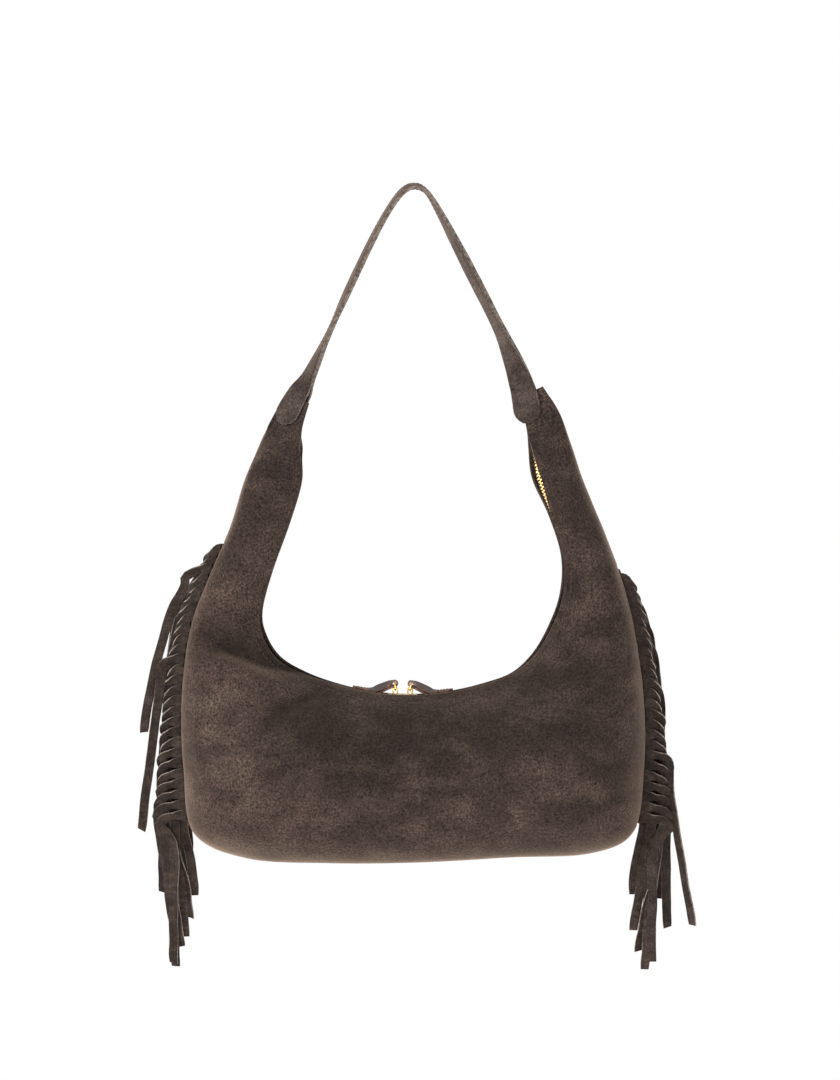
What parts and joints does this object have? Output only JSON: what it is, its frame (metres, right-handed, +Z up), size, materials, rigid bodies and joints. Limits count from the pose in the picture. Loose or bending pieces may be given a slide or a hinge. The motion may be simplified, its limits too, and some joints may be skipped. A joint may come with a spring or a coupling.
{
  "type": "fringed suede shoulder bag",
  "caption": "Crescent-shaped suede shoulder bag with a long cut fringe down both sides, a two-way zipper along its curved mouth and a half-turned strap it hangs from.",
  "frame": {"origin": "the spot under the top of the strap that rests on what the bag hangs from", "axes": "+Z up, -Y towards the plain front panel, +X to the right as seen from the front"},
  "size_m": [0.3958, 0.092, 0.5494],
  "materials": {
    "suede": "napped suede, taupe brown",
    "lining": "plain woven cotton",
    "zipper_tape": "woven tape",
    "brass": "polished",
    "pull_leather": "smooth leather with a satin edge"
  },
  "bodies": {
    "bag": {"front_panel": "suede", "back_panel": "suede", "fringe_left": "suede", "fringe_right": "suede", "strap_outer_ply": "suede", "strap_inner_ply": "suede", "front_lining": "lining", "back_lining": "lining", "zipper_tape_front": "zipper_tape", "zipper_tape_back": "zipper_tape", "zipper_teeth_front": "brass", "zipper_teeth_back": "brass", "zipper_stop_left": "brass", "zipper_stop_right": "brass"},
    "slider_left": {"slider_left": "brass"},
    "pull_left": {"pull_link_left": "brass", "pull_tab_left": "pull_leather"},
    "slider_right": {"slider_right": "brass"},
    "pull_right": {"pull_link_right": "brass", "pull_tab_right": "pull_leather"}
  },
  "joints": [
    {"name": "slider_left_travel", "type": "hinge", "parent": "bag", "child": "slider_left", "pos_m": [-0.0025, 0, -0.176], "axis": [0, 1, 0], "range_deg": [0, 14]},
    {"name": "slider_right_travel", "type": "hinge", "parent": "bag", "child": "slider_right", "pos_m": [-0.0025, 0, -0.176], "axis": [0, -1, 0], "range_deg": [0, 14]},
    {"name": "pull_left_swing", "type": "hinge", "parent": "slider_left", "child": "pull_left", "pos_m": [-0.01264, 0, -0.35071], "axis": [0, 1, 0], "range_deg": [0, 70]},
    {"name": "pull_right_swing", "type": "hinge", "parent": "slider_right", "child": "pull_right", "pos_m": [-0.0024, 0, -0.351], "axis": [0, -1, 0], "range_deg": [0, 70]}
  ]
}
